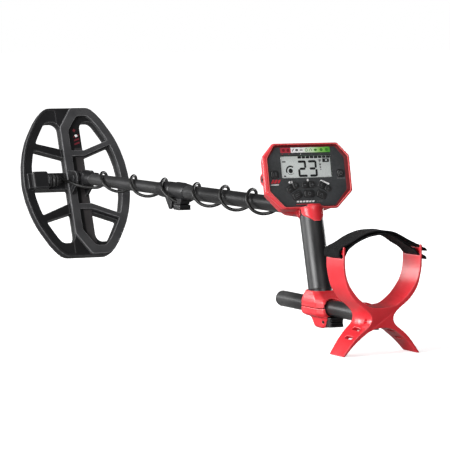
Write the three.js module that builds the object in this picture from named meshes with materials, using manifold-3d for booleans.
// Metal detector: octagonal control pod on a bent upper shaft, telescoping lower shaft with a
// double-D search coil on a tilting yoke, and an arm support that slides through a clamp at the
// foot of the grip. Millimetres, +Z up, +Y forward to the coil, +X right, X = 0 the mid plane.
// Shapes are laid out about the shaft axis and the whole model is lifted so the feet are on Z = 0.
import * as THREE from 'three';
import { mergeVertices } from 'three/addons/utils/BufferGeometryUtils.js';
import Module from 'manifold-3d';

const wasm = await Module();
wasm.setup();

// ---- driving dimensions ----
const DEG = Math.PI / 180;
const FOOT_DROP = 184.3;        // shaft axis above the feet
const MID_Y = 346.47;           // centre of the overall length
const FIT = 0.3;                // gap between touching pieces
const LOOSE = 0.45;             // wider gap round a shaft tube
const UPPER_R = 11.3, UPPER_BORE_R = 10.35, UPPER_FRONT = 440;
const LOWER_R = 9.75, LOWER_BORE_R = 8.5, LOWER_REAR = 262, LOWER_FRONT = 774;
const BEND_R = 40, LEAN = 15.5 * DEG, CORNER_Y = -4;  // bend from the shaft to the grip
const GRIP_R = 16.75, GRIP_START = 6, GRIP_END = 121; // distances along the grip axis
const GRIP_FOOT = -111.7;       // height at which the grip sleeve is cut off
const SHROUD_TURN = 54 * DEG, SHROUD_R = 14.2;        // pod sleeve round the bend
const HINGE_Y = 817.5;          // coil hinge on the shaft axis
const COIL_AT = [0, 845, -5.6], COIL_TILT = 68.97 * DEG;
const ARM_R = 11.3, ARM_WALL = 1.2, ARM_Z = -134.5, ARM_FRONT = 77, ARM_REAR = -205;
const POD_AT = [0, 3.1, 46.35], POD_TILT = 77.9 * DEG;
const CABLE_R = 2.5;
const CABLE_ENTRY_X = 21, CABLE_ENTRY_Z = 7.2;        // straight run of cable into the pod

// ---- materials ----
const material = (options) => new THREE.MeshStandardMaterial(options);
const RED = material({ color: 0xd81e2c, roughness: 0.38 });
const BLACK = material({ color: 0x17181a, roughness: 0.45 });
const GRIP = material({ color: 0x141516, roughness: 0.6 });
const TUBE = material({ color: 0x1b1c1f, roughness: 0.35, metalness: 0.3 });
const COIL = material({ color: 0x26282b, roughness: 0.5 });
const PANEL = material({ color: 0x2a2d30, roughness: 0.45 });
const KEY = material({ color: 0x17191b, roughness: 0.5 });
const LCD = material({ color: 0xb9bdb8, roughness: 0.4 });
const GLASS = material({ color: 0xdfe6e6, roughness: 0.08 });
const PCB = material({ color: 0x1f5a33, roughness: 0.5 });
const STEEL = material({ color: 0xb8babd, roughness: 0.3, metalness: 0.9 });
const COPPER = material({ color: 0xb0693a, roughness: 0.4, metalness: 0.8 });
const CABLE = material({ color: 0x0e0f10, roughness: 0.3 });
const FABRIC = material({ color: 0x0f1011, roughness: 0.9 });
const RUBBER = material({ color: 0x151515, roughness: 0.8 });
const CELL = material({ color: 0x2f3a46, roughness: 0.35, metalness: 0.4 });

// ---- solids ----
const vec = (x, y, z) => new THREE.Vector3(x, y, z);
const SIDES = [-1, 1];          // left, right
const MERGE_DISTANCE = 1e-4;

// closed geometry to manifold; a manifold passes straight through
function solid(part) {
  if (!part.isBufferGeometry) return part;
  const bare = part.index ? part.toNonIndexed() : part.clone();
  bare.deleteAttribute('normal');
  bare.deleteAttribute('uv');
  const merged = mergeVertices(bare, MERGE_DISTANCE);
  return new wasm.Manifold(new wasm.Mesh({
    numProp: 3,
    vertProperties: new Float32Array(merged.attributes.position.array),
    triVerts: new Uint32Array(merged.index.array),
  }));
}
// manifold to flat-shaded geometry
function toGeometry(manifold) {
  const { numProp, numVert, vertProperties, triVerts } = manifold.getMesh();
  const positions = new Float32Array(numVert * 3);
  for (let i = 0; i < numVert; i++) {
    for (let k = 0; k < 3; k++) positions[3 * i + k] = vertProperties[numProp * i + k];
  }
  const indexed = new THREE.BufferGeometry();
  indexed.setAttribute('position', new THREE.BufferAttribute(positions, 3));
  indexed.setIndex(new THREE.BufferAttribute(new Uint32Array(triVerts), 1));
  const flat = indexed.toNonIndexed();
  flat.computeVertexNormals();
  return flat;
}
// these return manifolds
const joined = (body, ...parts) => parts.reduce((sum, part) => sum.add(solid(part)), solid(body));
const less = (body, ...parts) => parts.reduce((rest, part) => rest.subtract(solid(part)), solid(body));
const common = (one, other) => solid(one).intersect(solid(other));
// these return geometry
const add = (...parts) => toGeometry(joined(...parts));
const cut = (...parts) => toGeometry(less(...parts));
const meet = (one, other) => toGeometry(common(one, other));

// ---- outlines ----
const mirrorX = (points) => points.map(([x, y]) => [-x, y]).reverse();
const mirrorY = (points) => points.map(([x, y]) => [x, -y]).reverse();
const withMirrorX = (half) => [...half, ...mirrorX(half)];
const withMirrorY = (half) => [...half, ...mirrorY(half)];
const rectangle = ([x0, x1], [y0, y1]) => [[x0, y0], [x1, y0], [x1, y1], [x0, y1]];
const toPoints = (pairs) => pairs.map(([x, y]) => new THREE.Vector2(x, y));

// circle with its corners half a step off the axes
function ring(radius, count) {
  return Array.from({ length: count }, (_, i) => {
    const angle = (i + 0.5) * 2 * Math.PI / count;
    return [radius * Math.cos(angle), radius * Math.sin(angle)];
  });
}
// rectangle about the origin with rounded corners
function rounded(width, height, radius, steps = 2) {
  const x = width / 2 - radius, y = height / 2 - radius;
  return [[x, y], [-x, y], [-x, -y], [x, -y]].flatMap(([cornerX, cornerY], corner) =>
    Array.from({ length: steps + 1 }, (_, i) => {
      const angle = 90 * (corner + i / steps) * DEG;
      return [cornerX + radius * Math.cos(angle), cornerY + radius * Math.sin(angle)];
    }));
}
function placed(points, x, y, degrees = 0) {
  const cos = Math.cos(degrees * DEG), sin = Math.sin(degrees * DEG);
  return points.map(([u, v]) => [x + u * cos - v * sin, y + u * sin + v * cos]);
}
// convex polygon with every edge moved inwards
function inset(points, distance) {
  const count = points.length;
  const edges = points.map(([x0, y0], i) => {
    const [x1, y1] = points[(i + 1) % count];
    const length = Math.hypot(x1 - x0, y1 - y0);
    const dirX = (x1 - x0) / length, dirY = (y1 - y0) / length;
    return { x: x0 - dirY * distance, y: y0 + dirX * distance, dirX, dirY };
  });
  return edges.map((edge, i) => {
    const last = edges[(i + count - 1) % count];
    const cross = last.dirX * edge.dirY - last.dirY * edge.dirX;
    const along = ((edge.x - last.x) * edge.dirY - (edge.y - last.y) * edge.dirX) / cross;
    return [last.x + last.dirX * along, last.y + last.dirY * along];
  });
}

// ---- shapes ----
// straight prism of a polygon along local z, with an optional chamfer on both ends
function prism(points, z0, z1, bevel = 0) {
  return new THREE.ExtrudeGeometry(new THREE.Shape(toPoints(points)), {
    depth: z1 - z0 - 2 * bevel, curveSegments: 1,
    bevelEnabled: bevel > 0, bevelThickness: bevel, bevelSize: bevel, bevelOffset: -bevel,
    bevelSegments: 1,
  }).translate(0, 0, z0 + bevel);
}
// prism scaled and shifted at each level: [z, x scale, y scale, x shift, y shift]
function loft(points, levels) {
  const steps = levels.length - 1;
  const shape = new THREE.Shape(toPoints(points));
  const geometry = new THREE.ExtrudeGeometry(shape, { depth: steps, steps, bevelEnabled: false });
  const position = geometry.attributes.position;
  for (let i = 0; i < position.count; i++) {
    const [z, scaleX, scaleY, shiftX, shiftY] = levels[Math.round(position.getZ(i))];
    position.setXYZ(i, position.getX(i) * scaleX + shiftX, position.getY(i) * scaleY + shiftY, z);
  }
  return geometry;
}
// prism of a (Y, Z) side profile between two X planes
const sideBasis = new THREE.Matrix4().makeBasis(vec(0, 1, 0), vec(0, 0, 1), vec(1, 0, 0));
const sideways = (points, x0, x1, bevel) => prism(points, x0, x1, bevel).applyMatrix4(sideBasis);
// prism of an (X, Z) front profile between two Y planes
const frontBasis = new THREE.Matrix4().makeBasis(vec(1, 0, 0), vec(0, 0, -1), vec(0, 1, 0));
const lengthways = (points, y0, y1) =>
  prism(points.map(([x, z]) => [x, -z]), y0, y1).applyMatrix4(frontBasis);

function rod(radius, from, to, segments, endRadius = radius) {
  const start = vec(...from);
  const span = vec(...to).sub(start);
  const middle = start.add(vec(...to)).multiplyScalar(0.5);
  const geometry = new THREE.CylinderGeometry(endRadius, radius, span.length(), segments);
  geometry.applyQuaternion(
    new THREE.Quaternion().setFromUnitVectors(vec(0, 1, 0), span.normalize()));
  return geometry.translate(middle.x, middle.y, middle.z);
}
const rodX = (radius, x0, x1, [y, z], segments) => rod(radius, [x0, y, z], [x1, y, z], segments);
const rodY = (radius, y0, y1, [x, z], segments) => rod(radius, [x, y0, z], [x, y1, z], segments);
const rodZ = (radius, z0, z1, [x, y], segments) => rod(radius, [x, y, z0], [x, y, z1], segments);

const block = ([x0, x1], [y0, y1], [z0, z1]) =>
  new THREE.BoxGeometry(x1 - x0, y1 - y0, z1 - z0)
    .translate((x0 + x1) / 2, (y0 + y1) / 2, (z0 + z1) / 2);
// X range of a block standing off the mid plane on one side
const onSide = (side, inner, outer) => (side < 0 ? [-outer, -inner] : [inner, outer]);
// revolve an [r, y] profile about the Y axis
const turn = (profile, segments) => new THREE.LatheGeometry(toPoints(profile), segments);

// open polyline followed exactly, one ring per point
class PointPath extends THREE.Curve {
  constructor(points) {
    super();
    this.points = points;
    this.last = points.length - 1;
  }
  getPointAt(u) {
    return this.points[Math.round(u * this.last)].clone();
  }
  getTangentAt(u, out = vec(0, 0, 0)) {
    const i = Math.round(u * this.last);
    const before = this.points[Math.max(i - 1, 0)];
    const after = this.points[Math.min(i + 1, this.last)];
    return out.copy(after).sub(before).normalize();
  }
}
function sweep(points, radius, segments, boreRadius = 0) {
  const shape = new THREE.Shape(toPoints(ring(radius, segments)));
  if (boreRadius) shape.holes.push(new THREE.Path(toPoints(ring(boreRadius, segments))));
  return new THREE.ExtrudeGeometry(shape, {
    steps: points.length - 1, extrudePath: new PointPath(points), bevelEnabled: false,
  });
}

// ---- groups ----
function piece(name, part, partMaterial, parent) {
  const mesh = new THREE.Mesh(part.isBufferGeometry ? part : toGeometry(part), partMaterial);
  mesh.name = name;
  parent.add(mesh);
}
function frameAt(at, tilt) {
  const group = new THREE.Group();
  group.position.set(...at);
  group.rotation.x = tilt;
  group.updateMatrix();
  return group;
}
const detector = new THREE.Group();
const shaft = new THREE.Group();
shaft.position.set(0, -MID_Y, FOOT_DROP);
detector.add(shaft);
const pod = frameAt(POD_AT, POD_TILT);
const coil = frameAt(COIL_AT, COIL_TILT);
shaft.add(pod, coil);
const toPod = pod.matrix.clone().invert();
const inPod = (geometry) => geometry.applyMatrix4(toPod);

// ---- upper shaft, bent down through the grip ----
const bendTurn = Math.PI / 2 - LEAN;
const bendY = CORNER_Y + BEND_R * Math.tan(bendTurn / 2);
const alongGrip = (distance) =>
  vec(0, CORNER_Y - Math.sin(LEAN) * distance, -Math.cos(LEAN) * distance);
const onBend = (angle) =>
  vec(0, bendY - BEND_R * Math.sin(angle), -BEND_R + BEND_R * Math.cos(angle));
const bendPoints = (angle, steps) =>
  Array.from({ length: steps + 1 }, (_, i) => onBend(angle * i / steps));
const shaftPath = (front, gripEnd) =>
  [vec(0, front, 0), ...bendPoints(bendTurn, 6), alongGrip(gripEnd)];
piece('upper_tube', sweep(shaftPath(UPPER_FRONT, GRIP_END), UPPER_R, 20, UPPER_BORE_R), TUBE, shaft);

// clearance round the upper tube, cut out of whatever it passes through
const envelope = () => sweep(shaftPath(UPPER_FRONT + 5, GRIP_END + 1), UPPER_R + LOOSE, 20);

// the pod's shroud ends on the bend, and the grip starts just past that end
const pastShroud = (distance) => onBend(SHROUD_TURN)
  .addScaledVector(vec(0, -Math.cos(SHROUD_TURN), -Math.sin(SHROUD_TURN)), distance);
const shroudPath = [
  vec(0, 86, 0), vec(0, 72, 0), ...bendPoints(SHROUD_TURN, 4).slice(0, -1),
  onBend(SHROUD_TURN), pastShroud(0.6),
];
const aboveGrip = rod(34, pastShroud(1.5), pastShroud(1.5 - 60), 16);

// V-shaped chin on the front of the grip, a slice of a sleeve about the grip axis (pod frame)
function chinShape(margin) {
  const leftEdge = [
    [-15.5 - margin, -40], [-15.5 - margin, -57.2 - margin], [-4.6 - margin, -66.2 - margin],
  ];
  return meet(inPod(rod(18 + margin, alongGrip(-6), alongGrip(24), 28)),
    prism(withMirrorX(leftEdge), -12, 30));
}
const gripPath = [GRIP_START, GRIP_START + 4, GRIP_END - 5, GRIP_END].map(alongGrip);
piece('grip_sleeve', cut(
  sweep(gripPath, GRIP_R, 28),
  rod(UPPER_R + FIT, alongGrip(-8), alongGrip(GRIP_END + 8), 20),
  envelope(), aboveGrip,
  chinShape(0.5).applyMatrix4(pod.matrix),
  block([-40, 40], [-120, 60], [-150, GRIP_FOOT])), GRIP, shaft);

// ---- telescoping lock ----
const LOCK_REAR = 398.6, LOCK_FRONT = 499, LOCK_R = 13.3;
const LOCK_PIN = [450, -21];    // Y, Z
const LOCK_STEP_Y = UPPER_FRONT + 1; // bore narrows from the upper tube to the lower
const lockBody = turn([
  [UPPER_R + FIT, LOCK_REAR], [12.0, LOCK_REAR], [13.0, 409], [LOCK_R, 446], [13.0, 470],
  [12.2, LOCK_FRONT], [LOWER_R + LOOSE, LOCK_FRONT], [LOWER_R + LOOSE, LOCK_STEP_Y],
  [UPPER_R + FIT, LOCK_STEP_Y], [UPPER_R + FIT, LOCK_REAR],
], 24);
const lockBoss = sideways([[465, -9], [448, -28.2], [442.5, -28.2], [440, -24], [440, -9]], -11, 11);
const lockBore = turn([
  [0, LOCK_REAR - 2], [UPPER_R + FIT, LOCK_REAR - 2], [UPPER_R + FIT, LOCK_STEP_Y],
  [LOWER_R + LOOSE, LOCK_STEP_Y], [LOWER_R + LOOSE, LOCK_FRONT + 2], [0, LOCK_FRONT + 2],
], 24);
piece('shaft_lock_collar', cut(add(lockBody, lockBoss), lockBore,
  block([-7.3, 7.3], [430, 459.5], [-40, -13.7]),
  rodX(2.1, -20, 20, LOCK_PIN, 12)), BLACK, shaft);

const lockLeverArm = [[450, -27.2], [450, -20], [436, -20.4], [430, -20.4], [430, -27.2]];
const lockLeverPad = [
  [436.5, -20.4], [411.6, -20.4], [412.8, -24], [411.4, -28.2], [420, -28.9], [436.5, -28.6],
];
piece('shaft_lock_lever', cut(
  add(rodX(6.2, -7, 7, LOCK_PIN, 16), sideways(lockLeverArm, -7, 7),
    sideways(lockLeverPad, -9.5, 9.5)),
  rodX(2.0, -20, 20, LOCK_PIN, 12)), BLACK, shaft);
piece('shaft_lock_pin', rodX(1.75, -10.8, 10.8, LOCK_PIN, 10), STEEL, shaft);

// ---- lower shaft and yoke ----
piece('lower_tube', sweep([vec(0, LOWER_REAR, 0), vec(0, LOWER_FRONT, 0)],
  LOWER_R, 20, LOWER_BORE_R), TUBE, shaft);
// flanged bush plugged into the rear end of the lower tube
piece('shaft_bush', turn([
  [6.2, LOWER_REAR - 3.5], [9.9, LOWER_REAR - 3.5], [9.9, LOWER_REAR - 0.4],
  [8.1, LOWER_REAR - 0.4], [8.1, LOWER_REAR + 16], [6.2, LOWER_REAR + 16],
  [6.2, LOWER_REAR - 3.5],
], 20), BLACK, shaft);

const HINGE = [HINGE_Y, 0];     // Y, Z
const BOLT_HOLE_R = 3.5, YOKE_R = 11.2;
const yokeStem = turn([
  [0, 742], [8.1, 742], [8.1, LOWER_FRONT + 0.4], [9.9, LOWER_FRONT + 0.4], [YOKE_R, 786],
  [YOKE_R, 800], [0, 800],
], 24);
const yokeCheek = [[798, -10.4], [HINGE_Y, -YOKE_R], [HINGE_Y, YOKE_R], [798, 10.4]];
const yokeEye = add(sideways(yokeCheek, -10, 10), rodX(YOKE_R, -10, 10, HINGE, 24));
piece('coil_yoke', cut(add(yokeStem, yokeEye), rodX(BOLT_HOLE_R, -20, 20, HINGE, 12)), BLACK, shaft);

// ---- search coil, in its own frame: x across, y along the long axis, z off the top face ----
const RIM_W = 16, COIL_T = 13, SKID_T = 3, RAISED = 6;
const COIL_HINGE = [-4.64, 27.7]; // y, z of the hinge in the coil frame
// a quarter of the rim outline, x, y
const quarter = [
  [96, 0], [94.9, 15], [92.6, 32], [88.4, 50], [82, 69], [73.6, 86.5], [63.4, 103],
  [52, 118.3], [43.5, 126.3], [36.5, 129.4], [29.5, 130.2],
];
const openQuarter = quarter.slice(1);
const rim = [...withMirrorX(quarter), ...mirrorY(mirrorX(openQuarter)), ...mirrorY(openQuarter)];
const spoke = [[-90, 65], [-90, 79.7], [-17, 54.2], [-17, 38.2]];

// rim-shaped plate with openings between the centre bar, four spokes and the left web
function slab(z0, z1) {
  const openings = less(
    prism(inset(rim, RIM_W), z0 - 1, z1 + 1),
    prism(rectangle([-19, 17.5], [-140, 140]), z0 - 2, z1 + 2),
    ...[spoke, mirrorY(spoke), mirrorX(spoke), mirrorY(mirrorX(spoke))]
      .map((outline) => prism(outline, z0 - 1, z1 + 1)),
    prism(rectangle([-90, -17], [-15, 15]), z0 - 1, z1 + 1));
  return less(prism(rim, z0, z1), openings);
}
// raised band round the right-hand D
const bandOuter = meet(prism(inset(rim, 1.8), -2, RAISED),
  prism(withMirrorY([[-19, -94], [4, -127], [4, -140], [120, -140]]), -3, RAISED + 1));
const bandInner = meet(prism(inset(rim, RIM_W), -3, RAISED + 2),
  prism(withMirrorY([[-4.5, -88], [7, -104], [7, -140], [120, -140]]), -4, RAISED + 3));
// hinge ear, y, z
const earProfile = [
  [-27, -2], [17, -2], [14, 12], [8.2, 27.7], [6.2, 34.5], [0.6, 40], [-6, 41.4], [-13, 39],
  [-17.6, 33],
];
// channel for the windings, open at the underside
const channel = less(prism(inset(rim, 3), -COIL_T - 1, -3.4),
  less(prism(inset(rim, 14), -COIL_T - 2, -2),
    prism(rectangle([-18, 16.5], [-140, 140]), -COIL_T - 3, 0)));
// block on the left web, tapered at the top
const webBlock = loft(rectangle([-1, 1], [-1, 1]), [
  [-9, 14, 15, -69, 0], [9.5, 14, 15, -69, 0], [12, 12.5, 13.5, -69, 0],
]);
let shell = joined(slab(-COIL_T, 0), less(bandOuter, bandInner));
shell = less(shell, block([-55, -18.9], [-16, 16], [-8.4, 20]));
shell = less(joined(shell, webBlock), channel);
shell = joined(shell, sideways(earProfile, 12.1, 16.9), sideways(earProfile, -16.9, -12.1));
piece('coil_shell', less(shell, rodX(BOLT_HOLE_R, -30, 30, COIL_HINGE, 12)), COIL, coil);
piece('coil_skid_plate', slab(-COIL_T - FIT - SKID_T, -COIL_T - FIT), BLACK, coil);

// D-shaped loop: its outside and its opening each stop at a straight edge
function winding(outerX, openingX, z0, z1) {
  const zone = (xRange) => block(xRange, [-200, 200], [-30, 30]);
  return less(common(prism(inset(rim, 5), z0, z1), zone(outerX)),
    common(prism(inset(rim, 12), z0 - 1, z1 + 1), zone(openingX)));
}
piece('tx_winding', winding([-200, 15], [-200, 7], -11.5, -8.6), COPPER, coil);
piece('rx_winding', winding([-16.5, 200], [-8.5, 200], -7, -4.2), COPPER, coil);

// ribbed gland, [r, distance from its base]
const glandProfile = [
  [0, 0], [11.2, 0], [11.2, 3.5], [9.6, 4.5], [9.6, 7], [11, 8], [11, 10.5], [9.2, 11.5],
  [9.2, 14], [9.8, 15], [8.6, 21], [5.2, 26], [0, 26],
];
piece('cable_gland', turn(glandProfile, 18).rotateZ(-Math.PI / 2).translate(-54.6, 0, 3.6),
  RUBBER, coil);

// ---- hinge hardware ----
const washer = (x0, x1) =>
  cut(rodX(9.5, x0, x1, HINGE, 18), rodX(BOLT_HOLE_R, x0 - 1, x1 + 1, HINGE, 12));
piece('hinge_washer_left', washer(-11.9, -10.2), RUBBER, shaft);
piece('hinge_washer_right', washer(10.2, 11.9), RUBBER, shaft);
piece('coil_bolt', add(rodX(3.1, -18, 25.5, HINGE, 12), rodX(6.4, -20, -17.3, HINGE, 6)),
  BLACK, shaft);
const knobStar = Array.from({ length: 24 }, (_, i) => {
  const angle = i * Math.PI / 12, radius = i % 4 < 2 ? 9.6 : 7.9;
  return [radius * Math.cos(angle), radius * Math.sin(angle)];
});
piece('coil_knob', cut(sideways(knobStar, 17.3, 27.5, 0.8).translate(0, HINGE_Y, 0),
  rodX(BOLT_HOLE_R, 15, 26, HINGE, 12)), BLACK, shaft);

// ---- coil cable, wound round both shafts: [y, turns from the top, radius] ----
const winds = [
  [767, 0.5, 13], [733, 1, 13.6], [668, 1.5, 13.6], [609, 2, 14.4], [556, 2.5, 14.4],
  [489, 3, 15.7], [459, 3.25, 16.9], [436.5, 3.36, 17.6], [424, 3.5, 16.9], [399, 3.75, 16.2],
  [370, 4, 15.3], [327, 4.5, 16.8], [271, 5, 16.6], [234, 5.5, 16.9], [179, 6, 17.2],
  [144, 6.5, 16.6], [119, 6.75, 17.6],
];
const SPLIT = 2.87, SPLIT_GAP = 0.004; // where the cable is parted, and half the gap, in turns
function windAt(turns) {
  let i = 0;
  while (i < winds.length - 2 && winds[i + 1][1] < turns) i++;
  const [startY, startTurns, startR] = winds[i];
  const [endY, endTurns, endR] = winds[i + 1];
  const fraction = (turns - startTurns) / (endTurns - startTurns);
  const radius = startR + (endR - startR) * fraction;
  const angle = 2 * Math.PI * turns;
  return vec(-radius * Math.sin(angle), startY + (endY - startY) * fraction,
    radius * Math.cos(angle));
}
function windPoints(from, below) {
  const points = [];
  for (let turns = from; turns < below; turns += 0.1) points.push(windAt(turns));
  return points;
}
piece('lower_cable', sweep([
  vec(-24.6, 841.2, -4.2), vec(-24.6, 833, -4.6), vec(-23.6, 818, -6.2),
  vec(-20.6, 800, -9.6), vec(-13, 782, -12.4),
  ...windPoints(0.5, SPLIT - 0.02), windAt(SPLIT - SPLIT_GAP),
], CABLE_R, 8), CABLE, shaft);
piece('upper_cable', sweep([
  windAt(SPLIT + SPLIT_GAP), ...windPoints(2.95, 6.76),
  vec(19.5, 104, 2), vec(CABLE_ENTRY_X, 88, 5.5), vec(CABLE_ENTRY_X, 74, 7),
  vec(CABLE_ENTRY_X, 58, CABLE_ENTRY_Z),
], CABLE_R, 8), CABLE, shaft);

// ---- control pod face, in the pod frame: x right, y up the face, z towards the user ----
const BEZEL_T = 12;
const octagon = [
  [69, -22.5], [69, 28], [51, 46.5], [-51, 46.5], [-69, 28], [-69, -22.5], [-42.5, -46.6],
  [42.5, -46.6],
];
const panelOctagon = [
  [62, -21], [62, 26], [48.5, 43], [-48.5, 43], [-62, 26], [-62, -21], [-40.5, -43.7],
  [40.5, -43.7],
];
const podEnvelope = inPod(envelope());
const SCREWS = [[51.5, 31.5], [-51.5, 31.5], [-47, -29.7], [47, -29.7]];
const atScrews = (radius, z0, z1, segments) =>
  SCREWS.map((at) => rodZ(radius, z0, z1, at, segments));

const bezelRing = less(
  loft(octagon, [
    [-BEZEL_T, 0.905, 0.905, 0, 0], [-4, 0.985, 0.985, 0, 0], [-1.6, 1, 1, 0, 0],
    [0, 0.985, 0.978, 0, 0],
  ]),
  prism(inset(panelOctagon, -FIT), -4.3, 5),
  prism(inset(panelOctagon, 2.6), -20, 5));
piece('pod_bezel', less(joined(bezelRing, ...atScrews(3.6, -BEZEL_T, -4.6, 12)),
  ...atScrews(1.7, -20, -5.6, 10), podEnvelope), RED, pod);

// centre x, y, width, height, turn in degrees
const KEYS = {
  key_left: [-52, 3, 10.5, 9, 0],
  key_right: [53, 2.7, 9.5, 9, 0],
  key_volume_down: [-30.4, -18.8, 8.8, 8, 35],
  key_volume_up: [-20.2, -13, 8.8, 8, 22],
  key_minus: [-6.1, -12.6, 8.6, 8, 0],
  key_plus: [6.1, -12.6, 8.6, 8, 0],
  key_mode_left: [20.2, -13, 8.8, 8, -22],
  key_mode_right: [30.4, -18.8, 8.8, 8, -35],
  key_lower_left: [-19.3, -27.2, 14, 8.6, 24],
  key_lower_mid: [0, -25.4, 15, 8.6, 0],
  key_lower_right: [19.3, -27.2, 14, 8.6, -24],
};
// outline of a key, grown by a margin on its width and height
const keyOutline = ([x, y, width, height, degrees], margin, radius, steps) =>
  placed(rounded(width + margin, height + margin, radius, steps), x, y, degrees);
const LCD_Y = 13.4;
piece('face_panel', less(
  prism(panelOctagon, -4, -1.5),
  prism(placed(rounded(80.8, 32.4, 2), 0, LCD_Y), -9, 3),
  ...Object.values(KEYS).map((key) => prism(keyOutline(key, 0.8, 2.2), -9, 3))), PANEL, pod);
for (const [name, key] of Object.entries(KEYS)) {
  const cap = prism(keyOutline(key, 0, 1.9), -5.4, -0.2, 0.5);
  const flange = prism(keyOutline(key, 1.8, 2.4, 1), -5.8, -4.5);
  piece(name, add(cap, flange), KEY, pod);
}
piece('lcd_lens', prism(placed(rounded(80, 31.6, 1.6), 0, LCD_Y), -2.8, -1.6), GLASS, pod);
piece('lcd_module', block([-39.4, 39.4], [-1.9, 28.7], [-7.4, -3.3]), LCD, pod);
const boardOutline = [
  [46, -22], [46, 24], [40, 36], [-40, 36], [-46, 24], [-46, -22], [-39, -32], [39, -32],
];
piece('main_board', add(
  prism(boardOutline, -9.6, -8),
  block([-14, 2], [4, 18], [-11.6, -9.5]),
  block([12, 22], [-20, -8], [-11.2, -9.5]),
  block([-30, -22], [-20, 10], [-12.4, -9.5])), PCB, pod);

// ---- pod rear housing ----
const HOUSING_BACK = -46, HOUSING_FRONT = -13.3;
const SOCKET = [-0.5, -22.5];       // y, z of the headphone socket
const DOOR_HINGE = [31.2, -49.1];   // y, z of the battery door hinge
const [DOOR_Y, DOOR_Z] = DOOR_HINGE;
const CABLE_ENTRY = [CABLE_ENTRY_X, CABLE_ENTRY_Z];
const outside = loft(octagon, [
  [HOUSING_BACK, 0.62, 0.70, 0, 1], [-40, 0.70, 0.77, 0, 0.8], [-24, 0.82, 0.85, 0, 0.5],
  [HOUSING_FRONT, 0.9, 0.9, 0, 0.3],
]);
const hollow = loft(octagon, [
  [-43.6, 0.62, 0.67, 0, 1], [-40, 0.66, 0.71, 0, 0.8], [-24, 0.78, 0.795, 0, 0.5],
  [-13, 0.862, 0.845, 0, 0.3],
]);
const shroud = inPod(sweep(shroudPath, SHROUD_R, 18));

// body with the shroud, socket boss, screw bosses, cable boss and the sleeve's two flanges
let housing = joined(outside, shroud,
  rod(9.3, [-30, ...SOCKET], [-61.5, ...SOCKET], 16, 8.2),
  ...atScrews(4.2, -20, HOUSING_FRONT, 12),
  inPod(rodY(5, 36, 64, CABLE_ENTRY, 10)),
  ...SIDES.map((side) => inPod(block(onSide(side, 11, 19), [40, 80], [0.1, 3.3]))));
// hollow and battery opening, both leaving the shroud whole
housing = less(housing, less(hollow, shroud),
  less(block([-28.5, 28.5], [-18.5, 27.6], [-60, -40]), shroud));
// screw bosses again inside the hollow, then their bores, the socket bore and sound slots
housing = joined(housing, ...atScrews(4.2, -19.9, HOUSING_FRONT, 12));
housing = less(housing,
  ...SCREWS.flatMap((at) => [rodZ(3.3, -70, -17, at, 12), rodZ(1.7, -70, -5, at, 10)]),
  rodX(5.4, -35, -70, SOCKET, 14),
  ...[-3, 2, 7, 12].map((y) => block([38, 50], [y, y + 2], [-60, -20])),
  block([-90, 90], [-47.1, 80], [HOUSING_FRONT, 30]));
// chin, then clearance for the tube, the cable and the saddle
housing = joined(housing, less(chinShape(0),
  block([-30, 30], [-47.1, 0], [-14, 40]),
  block([-30, 30], [-80, 0], [-80, -11])));
housing = less(housing, podEnvelope,
  inPod(sweep([vec(CABLE_ENTRY_X, 110, CABLE_ENTRY_Z), vec(CABLE_ENTRY_X, 55.5, CABLE_ENTRY_Z)],
    CABLE_R + 0.35, 10)),
  inPod(block([-40, 40], [40, 90], [-40, 0])));
// door hinge lugs with stub pins
housing = joined(housing, ...SIDES.flatMap((side) => [
  block(onSide(side, 24.4, 27.4), [DOOR_Y - 2, DOOR_Y + 2], [DOOR_Z - 1.8, -43]),
  rodX(0.9, side * 20.4, side * 25, DOOR_HINGE, 8),
]));
piece('pod_rear_housing', housing, RED, pod);

// separate lower half of the straight sleeve, with a flange on each side
const sleeve = cut(rodY(SHROUD_R, 41, 86, [0, 0], 20), rodY(UPPER_R + LOOSE, 20, 90, [0, 0], 20));
piece('saddle_clamp', add(
  meet(sleeve, block([-40, 40], [40.4, 90], [-40, -0.35])),
  block([11.9, 19], [52, 80], [-3.6, -0.35]),
  block([-19, -11.9], [52, 80], [-3.6, -0.35])), RED, shaft);

// ---- pod contents and battery door ----
const gasketOctagon = octagon.map(([x, y]) => [x * 0.895, y * 0.895]);
piece('face_gasket', cut(
  prism(inset(gasketOctagon, 0.4), -13.0, -12.3),
  prism(inset(gasketOctagon, 2.2), -14, -11),
  podEnvelope, ...atScrews(2, -15, -10, 8)), RUBBER, pod);
piece('battery_tray', cut(
  block([-31.4, 31.4], [-24.6, 29.6], [-34.4, -18]),
  block([-29.9, 29.9], [-23.4, 28.4], [-36, -19.4])), BLACK, pod);

const CELL_R = 7.1, CELL_L = 49.2, CELL_PITCH = 14.9, CELL_Y = 2.5, CELL_Z = -27;
for (let i = 0; i < 4; i++) {
  const at = [(i - 1.5) * CELL_PITCH, CELL_Z];
  const end = i % 2 ? -1 : 1; // the contact button alternates ends
  piece(`battery_${i + 1}`, add(
    rodY(CELL_R, CELL_Y - CELL_L / 2, CELL_Y + CELL_L / 2, at, 14),
    rodY(2.6, CELL_Y + end * CELL_L / 2 * 0.98, CELL_Y + end * (CELL_L / 2 + 1), at, 8)),
  CELL, pod);
}
piece('battery_door', cut(
  add(block([-30, 30], [-20.4, DOOR_Y - 2.2], [-48.6, HOUSING_BACK - 0.4]),
    block([-22, 22], [DOOR_Y - 2.4, DOOR_Y], [-50.6, -48]),
    rodX(2, -24, 24, DOOR_HINGE, 12),
    block([-6, 6], [-20.2, -17.4], [-49.8, -48.4])),
  ...SIDES.flatMap((side) => [
    block(onSide(side, 23.9, 28), [DOOR_Y - 6, DOOR_Y + 5], [-60, -40]),
    rodX(1.3, side * 30, side * 19, DOOR_HINGE, 8),
  ])), RED, pod);
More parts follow.
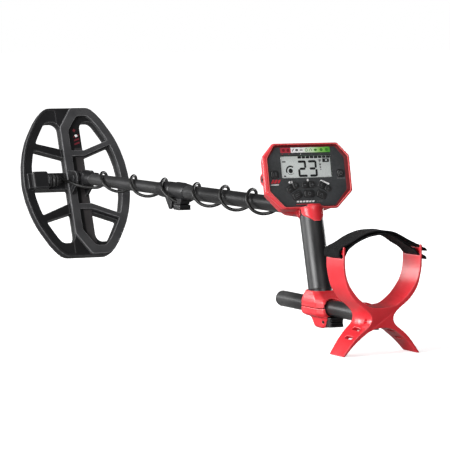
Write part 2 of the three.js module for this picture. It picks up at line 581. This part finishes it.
piece('speaker', add(rodZ(9.4, -17.6, -14.6, [43, 5], 18), rodZ(5.5, -19.6, -17.4, [43, 5], 14)),
  BLACK, pod);
piece('headphone_socket', cut(rodX(5, -43, -61, SOCKET, 14), rodX(1.9, -49, -70, SOCKET, 8)),
  BLACK, pod);
SCREWS.forEach((at, i) => piece(`pod_screw_${i + 1}`,
  add(rodZ(1.35, -18, -6.4, at, 8), rodZ(2.8, -19.5, -17.3, at, 10)), STEEL, pod));

// ---- arm clamp at the foot of the grip ----
const CLAMP_PIN = [-64, -154.2];    // Y, Z
const ARM_AXIS = [0, ARM_Z];        // X, Z
// unit plan with cut corners, scaled at each level
const plan = [
  [1, -0.62], [1, 0.62], [0.66, 1], [-0.66, 1], [-1, 0.62], [-1, -0.62], [-0.66, -1], [0.66, -1],
];
const armBore = rodY(ARM_R + FIT, -400, 400, ARM_AXIS, 24);
const clampPinHole = rodX(2.3, -30, 30, CLAMP_PIN, 12);
piece('clamp_body', cut(loft(plan, [
  [-134.2, 22, 33.5, 0, -40.5], [-125, 22, 33.5, 0, -40.5], [-118.5, 20.5, 26.5, 0, -38.5],
  [-113.5, 18.2, 18.8, 0, -35.2], [-112, 17.4, 18, 0, -35],
]), armBore, envelope()), RED, shaft);
piece('clamp_cap', cut(loft(plan, [
  [-163.6, 9.5, 14.5, 0, -51], [-161.5, 11.5, 17.5, 0, -50.5], [-149, 12.5, 26, 0, -47.5],
  [-147.4, 17, 29, 0, -44], [-144, 21, 32.4, 0, -40.6], [-134.8, 22, 33.5, 0, -40.5],
]), armBore, block([-8.3, 8.3], [-120, -54.5], [-170, -146.6]), clampPinHole), RED, shaft);
const clampLeverPad = [
  [-76.5, -147.2], [-85, -146.9], [-83, -152.4], [-84.6, -159.6], [-80, -160.4],
  [-76.5, -160.4],
];
piece('clamp_lever', cut(add(
  rodX(6.6, -8, 8, CLAMP_PIN, 16),
  sideways([[-64, -147.8], [-72, -147.3], [-72, -160.4], [-64, -160.6]], -8, 8),
  sideways(clampLeverPad, -10.5, 10.5),
  sideways([[-71, -147.4], [-78, -147.2], [-78, -160.4], [-71, -160.4]], -8, 8)),
clampPinHole), BLACK, shaft);
piece('clamp_lever_pin', rodX(1.9, -11.4, 11.4, CLAMP_PIN, 10), STEEL, shaft);

// ---- arm tube ----
piece('arm_tube', sweep([vec(0, ARM_REAR, ARM_Z), vec(0, ARM_FRONT, ARM_Z)],
  ARM_R, 20, ARM_R - ARM_WALL), TUBE, shaft);
piece('arm_tube_cap', turn([
  [0, ARM_FRONT - 12], [ARM_R - 1.6, ARM_FRONT - 12], [ARM_R - 1.6, ARM_FRONT + FIT],
  [ARM_R, ARM_FRONT + FIT], [ARM_R, ARM_FRONT + 3.2], [9.8, ARM_FRONT + 6.4],
  [6.5, ARM_FRONT + 8], [0, ARM_FRONT + 8.4],
], 20).translate(0, 0, ARM_Z), BLACK, shaft);

// ---- arm support: right halves of the outline, X, Z ----
const outerEdge = [
  [60.2, -34.5], [60.6, -47], [60.3, -66], [58.4, -77], [54.6, -91], [48.4, -102],
  [41, -110.6], [33.4, -117.2], [26.4, -124], [23, -130], [22.6, -137], [25, -143.6],
  [33.9, -153], [44.7, -165], [52.4, -174.8], [59.6, -FOOT_DROP],
];
const arch = [[55.4, -FOOT_DROP], [43, -170.4], [30.6, -159.2], [20.3, -151.8], [10, -148.2]];
const cuff = [
  [10, -119.8], [20.5, -117.9], [31, -110.9], [37.4, -105.4], [45, -96.4], [51.3, -86.6],
  [55.6, -74.5], [57.2, -63], [57.4, -47], [57, -34.5],
];
// the section drawn lengthways, with the legs narrowing in Y towards the feet
function supportBody() {
  const LEG_TOP = -150;
  const section = [...withMirrorX([...outerEdge, ...arch]), ...mirrorX(cuff), ...cuff];
  const body = lengthways(section, -214, -166);
  const position = body.attributes.position;
  for (let i = 0; i < position.count; i++) {
    const z = position.getZ(i);
    if (z >= LEG_TOP) continue;
    const down = (LEG_TOP - z) / (FOOT_DROP + LEG_TOP);
    position.setY(i, -191.6 + (position.getY(i) + 190) * (1 - 0.2 * down) + 1.6 * (1 - down));
  }
  return body;
}
const slot = (x, z, side) => block([-2.3, 2.3], [-9.5, 9.5], [-7, 7])
  .rotateY(side * 0.85).translate(x, -193.5, z);
const REST_SCREW = [0, -196];       // X, Y
piece('armrest', cut(
  add(supportBody(), rodY(17, -214, -160, ARM_AXIS, 24)),
  rodY(ARM_R + FIT, -206, -100, ARM_AXIS, 24),
  rodZ(2.2, -200, ARM_Z, REST_SCREW, 10),
  rodZ(4.2, -200, -148.6, REST_SCREW, 12),
  ...SIDES.flatMap((side) => [
    block(onSide(side, 55, 64), [-212, -169], [-52.5, -47.5]),
    block(onSide(side, 50, 70), [-211.6, -169.4], [-40.9, -30]),
    slot(side * 27, -151.6, side),
    slot(side * 38.6, -162.2, side),
  ])), RED, shaft);
piece('armrest_screw', add(rodZ(1.8, -150, -146.2, REST_SCREW, 8),
  rodZ(3.7, -151.6, -149.2, REST_SCREW, 10)), STEEL, shaft);

// strap over the cuff: right half, X, Z, out along the top and back underneath
const strapHalf = [
  [0, -16.6], [12, -17.6], [22, -20.3], [34, -25.2], [46, -31.4], [54, -35], [60.6, -37.2],
  [64, -40.6], [64.8, -46], [64.4, -53],
  [61.3, -53], [61.3, -40.4], [56.8, -40.4], [51.6, -38.4], [44, -34.6], [33, -29.4],
  [20, -24.6], [9, -21.8], [0, -21],
];
const strapSection = [...strapHalf, ...mirrorX(strapHalf.slice(1, -1))];
piece('arm_strap', lengthways(strapSection, -211, -170), FABRIC, shaft);

export default detector;
